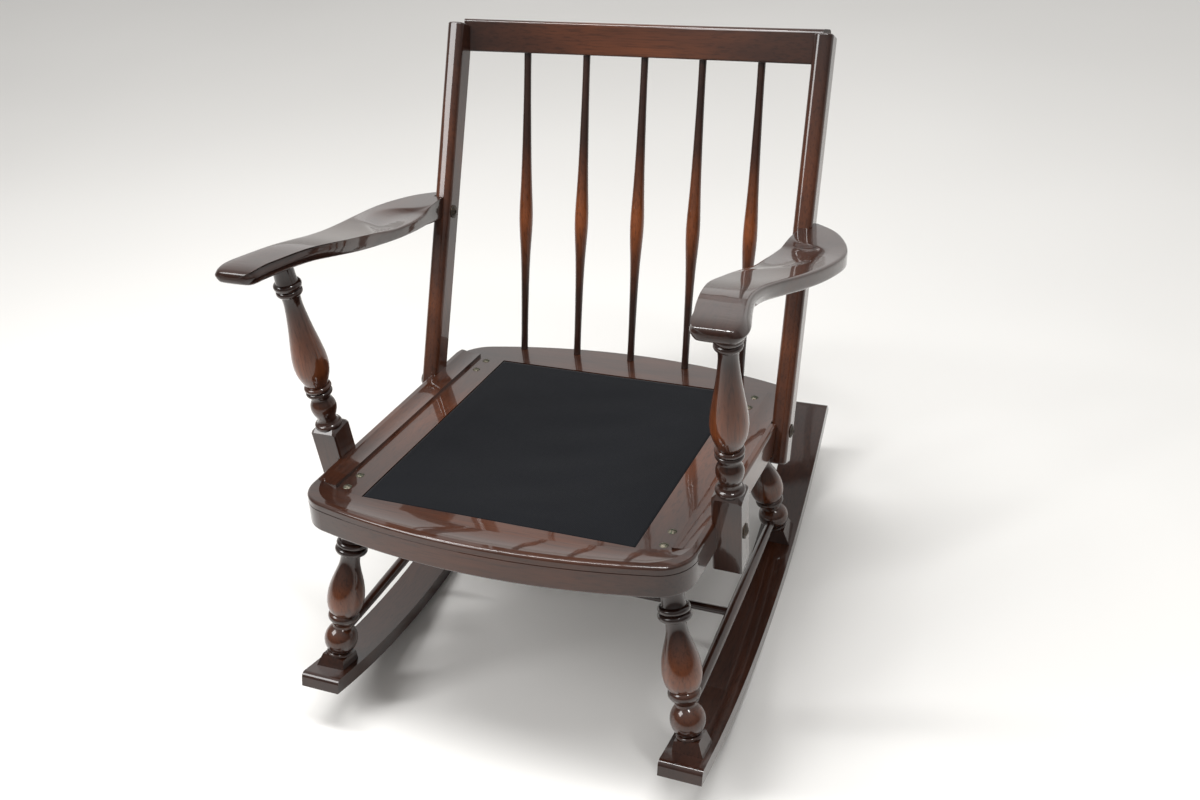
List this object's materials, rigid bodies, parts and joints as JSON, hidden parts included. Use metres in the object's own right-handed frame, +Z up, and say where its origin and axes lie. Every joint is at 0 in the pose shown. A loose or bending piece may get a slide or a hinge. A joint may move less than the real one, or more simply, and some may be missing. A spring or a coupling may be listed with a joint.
{
  "type": "rocking chair frame",
  "caption": "Dark lacquered wooden rocking chair frame with turned legs, a spindle back, S-shaped arms and a black sling seat, without cushions.",
  "frame": {"origin": "on the floor, under the middle of the chair's overall box", "axes": "+X to the chair's right hand as seen from the front, +Y towards the back, +Z up"},
  "size_m": [0.6944, 0.7788, 0.7434],
  "materials": {
    "lacquered_wood": "gloss",
    "plain_wood": "matte",
    "sling_cloth": "matte",
    "screw_steel": "satin",
    "bolt_steel": "satin"
  },
  "bodies": {
    "root": {"arm_bolts": "bolt_steel", "arm_left": "lacquered_wood", "arm_post_bolts": "bolt_steel", "arm_post_left": "lacquered_wood", "arm_post_right": "lacquered_wood", "arm_right": "lacquered_wood", "back_post_bolts": "bolt_steel", "back_post_left": "lacquered_wood", "back_post_right": "lacquered_wood", "bolt_inserts": "bolt_steel", "cross_stretcher": "lacquered_wood", "leg_front_left": "lacquered_wood", "leg_front_right": "lacquered_wood", "leg_rear_left": "lacquered_wood", "leg_rear_right": "lacquered_wood", "rocker_left": "lacquered_wood", "rocker_right": "lacquered_wood", "rocker_screws": "screw_steel", "seat_corner_dowels": "plain_wood", "seat_fabric": "sling_cloth", "seat_front_rail": "lacquered_wood", "seat_rear_rail": "lacquered_wood", "seat_screws": "screw_steel", "seat_side_rail_left": "lacquered_wood", "seat_side_rail_right": "lacquered_wood", "side_stretcher_left": "lacquered_wood", "side_stretcher_right": "lacquered_wood", "sling_slat_front": "plain_wood", "sling_slat_left": "plain_wood", "sling_slat_rear": "plain_wood", "sling_slat_right": "plain_wood", "spindle_1": "lacquered_wood", "spindle_2": "lacquered_wood", "spindle_3": "lacquered_wood", "spindle_4": "lacquered_wood", "spindle_5": "lacquered_wood", "top_rail": "lacquered_wood", "top_rail_dowels": "plain_wood"}
  },
  "joints": []
}
